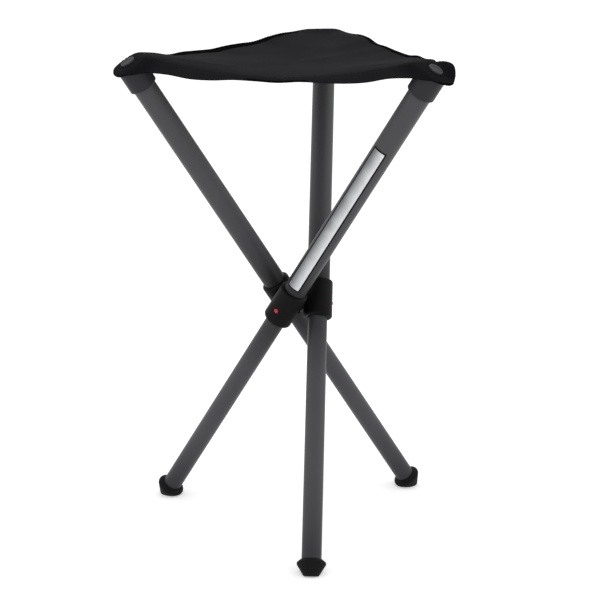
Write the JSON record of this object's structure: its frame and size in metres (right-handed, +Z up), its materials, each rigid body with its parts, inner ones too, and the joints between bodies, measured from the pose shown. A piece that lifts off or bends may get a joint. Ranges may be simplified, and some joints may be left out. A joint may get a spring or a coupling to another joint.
{
  "type": "collapsible telescopic stool",
  "caption": "Folding tripod stool: twisted telescopic legs on a three-way hub, push-button locks, and a triangular cloth seat held at the leg tops.",
  "frame": {"origin": "the point on the floor midway between the three feet, below the hub", "axes": "+Z up along the stool's axis; +X towards the pivot pin of leg 1, whose foot is at the front, on the -Y side"},
  "size_m": [0.3307, 0.3515, 0.5064],
  "materials": {
    "grey_anodised_tube": "dark grey anodised, satin",
    "dark_anodised_tube": "dark grey anodised, satin",
    "black_nylon": "moulded nylon, satin black",
    "dark_grey_nylon": "moulded nylon, dark grey",
    "stud_plastic": "moulded plastic, mid grey",
    "red_plastic": "moulded plastic, red",
    "foot_rubber": "moulded rubber, black",
    "pin_steel": "turned steel",
    "spring_steel": "spring steel strip",
    "label_film": "printed film with a black border and a plain silver field",
    "seat_cloth": "coated polyester weave, near black"
  },
  "bodies": {
    "hub": {"hub_core": "black_nylon", "pivot_pin_1": "pin_steel", "pivot_pin_2": "pin_steel", "pivot_pin_3": "pin_steel"},
    "leg_1": {"collar_1": "black_nylon", "upper_tube_1": "grey_anodised_tube", "wiper_ring_1": "black_nylon", "top_cap_1": "dark_grey_nylon", "corner_stud_1": "stud_plastic"},
    "extension_1": {"lower_tube_1": "dark_anodised_tube", "guide_bush_1": "black_nylon", "foot_1": "foot_rubber", "foot_washer_1": "pin_steel", "latch_spring_1": "spring_steel"},
    "button_1": {"lock_button_1": "red_plastic"},
    "corner_1": {"seat_corner_1": "seat_cloth"},
    "leg_2": {"collar_2": "black_nylon", "upper_tube_2": "grey_anodised_tube", "wiper_ring_2": "black_nylon", "top_cap_2": "dark_grey_nylon", "corner_stud_2": "stud_plastic"},
    "extension_2": {"lower_tube_2": "dark_anodised_tube", "guide_bush_2": "black_nylon", "foot_2": "foot_rubber", "foot_washer_2": "pin_steel", "latch_spring_2": "spring_steel"},
    "button_2": {"lock_button_2": "red_plastic"},
    "corner_2": {"seat_corner_2": "seat_cloth"},
    "leg_3": {"collar_3": "black_nylon", "upper_tube_3": "grey_anodised_tube", "wiper_ring_3": "black_nylon", "top_cap_3": "dark_grey_nylon", "corner_stud_3": "stud_plastic", "label_plate": "label_film"},
    "extension_3": {"lower_tube_3": "dark_anodised_tube", "guide_bush_3": "black_nylon", "foot_3": "foot_rubber", "foot_washer_3": "pin_steel", "latch_spring_3": "spring_steel"},
    "button_3": {"lock_button_3": "red_plastic"},
    "corner_3": {"seat_corner_3": "seat_cloth"},
    "field_1_2": {"seat_field_1_2": "seat_cloth"},
    "field_1_3": {"seat_field_1_3": "seat_cloth"},
    "field_2_3": {"seat_field_2_3": "seat_cloth"},
    "field_2_1": {"seat_field_2_1": "seat_cloth"},
    "field_3_1": {"seat_field_3_1": "seat_cloth"},
    "field_3_2": {"seat_field_3_2": "seat_cloth"}
  },
  "joints": [
    {"name": "fold", "type": "hinge", "parent": "hub", "child": "leg_1", "pos_m": [0, 0, 0.238], "axis": [1, 0, 0], "range_deg": [0, 33.6]},
    {"name": "fold_2", "type": "hinge", "parent": "hub", "child": "leg_2", "pos_m": [0, 0, 0.238], "axis": [-0.5, 0.866, 0], "range_deg": [0, 33.6]},
    {"name": "fold_3", "type": "hinge", "parent": "hub", "child": "leg_3", "pos_m": [0, 0, 0.238], "axis": [-0.5, -0.866, 0], "range_deg": [0, 33.6]},
    {"name": "extend_1", "type": "slide", "parent": "leg_1", "child": "extension_1", "axis": [0, 0.5534, 0.8329], "range_m": [0, 0.24], "deforming": ["latch_spring_1"]},
    {"name": "extend_2", "type": "slide", "parent": "leg_2", "child": "extension_2", "axis": [-0.4793, -0.2767, 0.8329], "range_m": [0, 0.24], "deforming": ["latch_spring_2"]},
    {"name": "extend_3", "type": "slide", "parent": "leg_3", "child": "extension_3", "axis": [0.4793, -0.2767, 0.8329], "range_m": [0, 0.24], "deforming": ["latch_spring_3"]},
    {"name": "button_1", "type": "slide", "parent": "leg_1", "child": "button_1", "axis": [-1, 0, 0], "range_m": [0, 0.0014], "stiffness_N_per_m": 5000},
    {"name": "button_2", "type": "slide", "parent": "leg_2", "child": "button_2", "axis": [0.5, -0.866, 0], "range_m": [0, 0.0014], "stiffness_N_per_m": 5000},
    {"name": "button_3", "type": "slide", "parent": "leg_3", "child": "button_3", "axis": [0.5, 0.866, 0], "range_m": [0, 0.0014], "stiffness_N_per_m": 5000},
    {"name": "swivel_1", "type": "hinge", "parent": "leg_1", "child": "corner_1", "pos_m": [0.023, 0.17341, 0.499], "axis": [0, -0.5534, -0.8329], "range_deg": [0, 83.62], "deforming": ["seat_corner_1"]},
    {"name": "crease_1_2", "type": "hinge", "parent": "corner_1", "child": "field_1_2", "pos_m": [0.02129, 0.16052, 0.50522], "axis": [0.7445, -0.6316, -0.2161], "range_deg": [0, 59.18], "deforming": ["seat_field_1_2"]},
    {"name": "crease_1_3", "type": "hinge", "parent": "corner_1", "child": "field_1_3", "pos_m": [0.02129, 0.16052, 0.50522], "axis": [0.8757, 0.3421, 0.3408], "range_deg": [0, 56.44], "deforming": ["seat_field_1_3"]},
    {"name": "swivel_2", "type": "hinge", "parent": "leg_2", "child": "corner_2", "pos_m": [-0.16168, -0.06678, 0.499], "axis": [0.4793, 0.2767, -0.8329], "range_deg": [0, 83.62], "deforming": ["seat_corner_2"]},
    {"name": "crease_2_3", "type": "hinge", "parent": "corner_2", "child": "field_2_3", "pos_m": [-0.14966, -0.06182, 0.50522], "axis": [0.0803, 0.9829, -0.1658], "range_deg": [0, 55.68], "deforming": ["seat_field_2_3"]},
    {"name": "crease_2_1", "type": "hinge", "parent": "corner_2", "child": "field_2_1", "pos_m": [-0.14966, -0.06182, 0.50522], "axis": [-0.7341, 0.5873, 0.3408], "range_deg": [0, 56.44], "deforming": ["seat_field_2_1"]},
    {"name": "swivel_3", "type": "hinge", "parent": "leg_3", "child": "corner_3", "pos_m": [0.13868, -0.10662, 0.499], "axis": [-0.4793, 0.2767, -0.8329], "range_deg": [0, 83.62], "deforming": ["seat_corner_3"]},
    {"name": "crease_3_1", "type": "hinge", "parent": "corner_3", "child": "field_3_1", "pos_m": [0.12837, -0.0987, 0.50522], "axis": [-0.9193, -0.329, -0.2161], "range_deg": [0, 59.18], "deforming": ["seat_field_3_1"]},
    {"name": "crease_3_2", "type": "hinge", "parent": "corner_3", "child": "field_3_2", "pos_m": [0.12837, -0.0987, 0.50522], "axis": [-0.2509, -0.9219, 0.2952], "range_deg": [0, 53.42], "deforming": ["seat_field_3_2"]}
  ],
  "couplings": [
    {"joint": "fold_2", "follows": "fold", "ratio": 1},
    {"joint": "fold_3", "follows": "fold", "ratio": 1},
    {"joint": "swivel_1", "follows": "fold", "ratio": 2.4738},
    {"joint": "crease_1_2", "follows": "fold", "ratio": 1.7464},
    {"joint": "crease_1_3", "follows": "fold", "ratio": 1.6649},
    {"joint": "swivel_2", "follows": "fold", "ratio": 2.4738},
    {"joint": "crease_2_3", "follows": "fold", "ratio": 1.6423},
    {"joint": "crease_2_1", "follows": "fold", "ratio": 1.6649},
    {"joint": "swivel_3", "follows": "fold", "ratio": 2.4738},
    {"joint": "crease_3_1", "follows": "fold", "ratio": 1.7464},
    {"joint": "crease_3_2", "follows": "fold", "ratio": 1.5749}
  ]
}
